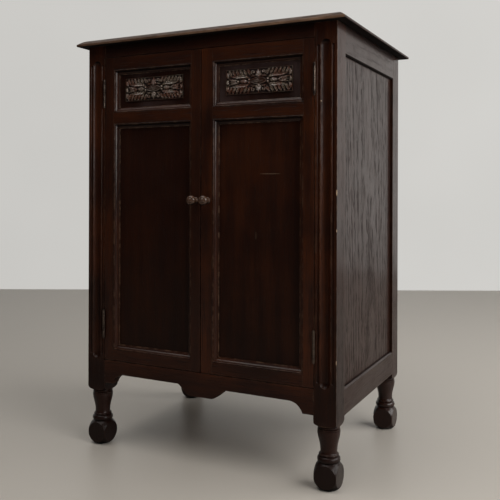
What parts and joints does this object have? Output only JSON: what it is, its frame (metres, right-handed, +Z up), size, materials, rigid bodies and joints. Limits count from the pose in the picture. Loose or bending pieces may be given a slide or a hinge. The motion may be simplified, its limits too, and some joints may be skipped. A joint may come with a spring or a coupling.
{
  "type": "gramophone cabinet",
  "caption": "Floor-standing frame-and-panel gramophone cabinet on turned legs, with panelled doors, a hinged lid over a turntable, a record compartment, an inner horn and a spring motor.",
  "frame": {"origin": "on the floor, under the middle of the four posts", "axes": "+X to the right as one faces the doors, +Y from the doors to the back, +Z up"},
  "size_m": [0.696, 0.5275, 0.998],
  "materials": {
    "oak_posts": "dark stained oak, satin polish, grain upright",
    "oak_rails": "dark stained oak, satin polish, grain across",
    "oak_side_rails": "dark stained oak, satin polish, grain front to back",
    "oak_side_panels": "dark stained oak with a broad plain-sawn figure, satin polish",
    "oak_stiles": "dark stained oak, satin polish, worn reddish at the edges",
    "oak_door_rails": "dark stained oak, satin polish, grain across",
    "oak_door_panels": "dark stained oak panels, satin polish, grain upright",
    "oak_carved_panels": "dark stained oak panels with a raised field for carving",
    "oak_mouldings": "dark stained oak moulding, lighter on its worn arrises",
    "oak_lid": "dark stained oak top with a worn lighter edge",
    "oak_knobs": "turned dark oak, polished by hands",
    "inner_boards": "plain oiled boards",
    "horn_wood": "varnished thin boards",
    "deck_wood": "polished motor board",
    "brass": "aged brass",
    "nickel": "nickel plate",
    "iron": "black japanned cast iron",
    "steel": "bright steel",
    "felt": "green felt",
    "grip_wood": "turned and polished dark wood"
  },
  "bodies": {
    "carcass": {"front_left_post": "oak_posts", "front_right_post": "oak_posts", "back_posts": "oak_posts", "front_top_rail": "oak_rails", "apron": "oak_rails", "side_rails": "oak_side_rails", "left_side_panel": "oak_side_panels", "right_side_panel": "oak_side_panels", "back_rails": "oak_rails", "back_panel": "oak_side_panels", "bottom_board": "inner_boards", "cleats": "inner_boards", "record_shelf": "inner_boards", "record_dividers": "inner_boards", "fascia_board": "oak_rails", "horn": "horn_wood", "horn_louvres": "oak_rails", "horn_throat": "iron", "motor_board": "deck_wood", "well_lining": "oak_side_rails", "motor_frame": "iron", "arm_base": "nickel", "needle_cups": "nickel", "crank_escutcheon": "nickel", "crank_clips": "inner_boards", "crank_arm": "nickel", "carcass_hinge_leaves": "brass", "hinge_pins": "brass", "stay_guide": "brass"},
    "lid": {"lid": "oak_lid", "lid_hinge_leaves": "brass", "lid_stay": "brass"},
    "left_door": {"left_door_stiles": "oak_stiles", "left_door_rails": "oak_door_rails", "left_upper_panel": "oak_carved_panels", "left_lower_panel": "oak_door_panels", "left_door_mouldings": "oak_mouldings", "left_knob": "oak_knobs", "left_hinge_leaves": "brass"},
    "right_door": {"right_door_stiles": "oak_stiles", "right_door_rails": "oak_door_rails", "right_upper_panel": "oak_carved_panels", "right_lower_panel": "oak_door_panels", "right_door_mouldings": "oak_mouldings", "right_knob": "oak_knobs", "right_hinge_leaves": "brass"},
    "turntable": {"platter": "iron", "platter_felt": "felt", "spindle": "steel"},
    "intermediate": {"intermediate_gear": "brass"},
    "barrel": {"spring_barrel": "brass"},
    "arbor": {"winding_arbor": "steel"},
    "governor": {"governor": "brass"},
    "winder": {"winding_shaft": "steel"},
    "grip": {"crank_grip": "grip_wood"},
    "tone_arm": {"tone_arm": "nickel"},
    "neck": {"gooseneck": "nickel", "sound_box": "nickel"},
    "brake": {"brake_lever": "nickel"},
    "speed_lever": {"speed_lever": "nickel"}
  },
  "joints": [
    {"name": "lid_hinge", "type": "hinge", "parent": "carcass", "child": "lid", "pos_m": [0, 0.2429, 0.9786], "axis": [-1, 0, 0], "range_deg": [0, 56]},
    {"name": "right_door_hinge", "type": "hinge", "parent": "carcass", "child": "right_door", "pos_m": [0.27525, -0.2429, 0.5825], "axis": [0, 0, 1], "range_deg": [0, 170]},
    {"name": "left_door_hinge", "type": "hinge", "parent": "carcass", "child": "left_door", "pos_m": [-0.27525, -0.2429, 0.5825], "axis": [0, 0, -1], "range_deg": [0, 170]},
    {"name": "turntable_spin", "type": "hinge", "parent": "carcass", "child": "turntable", "pos_m": [-0.03, -0.015, 0.85], "axis": [0, 0, 1], "continuous": true},
    {"name": "intermediate_spin", "type": "hinge", "parent": "carcass", "child": "intermediate", "pos_m": [-0.078, 0.021, 0.8], "axis": [0, 0, 1], "continuous": true},
    {"name": "barrel_spin", "type": "hinge", "parent": "carcass", "child": "barrel", "pos_m": [-0.126, -0.015, 0.775], "axis": [0, 0, 1], "continuous": true},
    {"name": "governor_spin", "type": "hinge", "parent": "carcass", "child": "governor", "pos_m": [0, -0.0397, 0.827], "axis": [1, 0, 0], "continuous": true},
    {"name": "winding_turn", "type": "hinge", "parent": "carcass", "child": "winder", "pos_m": [-0.2, -0.015, 0.83], "axis": [1, 0, 0], "continuous": true},
    {"name": "arbor_turn", "type": "hinge", "parent": "carcass", "child": "arbor", "pos_m": [-0.126, -0.015, 0.775], "axis": [0, 0, 1], "continuous": true},
    {"name": "grip_spin", "type": "hinge", "parent": "carcass", "child": "grip", "pos_m": [-0.1, 0.207, 0.8685], "axis": [1, 0, 0], "continuous": true},
    {"name": "tone_arm_swing", "type": "hinge", "parent": "carcass", "child": "tone_arm", "pos_m": [0.15, 0.125, 0.87], "axis": [0, 0, -1], "range_deg": [0, 30]},
    {"name": "sound_box_lift", "type": "hinge", "parent": "tone_arm", "child": "neck", "pos_m": [0.15, -0.07, 0.928], "axis": [0, 1, 0], "range_deg": [0, 100]},
    {"name": "brake_turn", "type": "hinge", "parent": "carcass", "child": "brake", "pos_m": [0.056, -0.16396, 0.86], "axis": [0, 0, 1], "range_deg": [0, 20]},
    {"name": "speed_turn", "type": "hinge", "parent": "carcass", "child": "speed_lever", "pos_m": [-0.215, -0.165, 0.86], "axis": [0, 0, 1], "range_deg": [-50, 50]}
  ],
  "couplings": [
    {"joint": "intermediate_spin", "follows": "turntable_spin", "ratio": -0.2},
    {"joint": "barrel_spin", "follows": "turntable_spin", "ratio": 0.04},
    {"joint": "governor_spin", "follows": "turntable_spin", "ratio": 10},
    {"joint": "arbor_turn", "follows": "winding_turn", "ratio": -0.5}
  ]
}
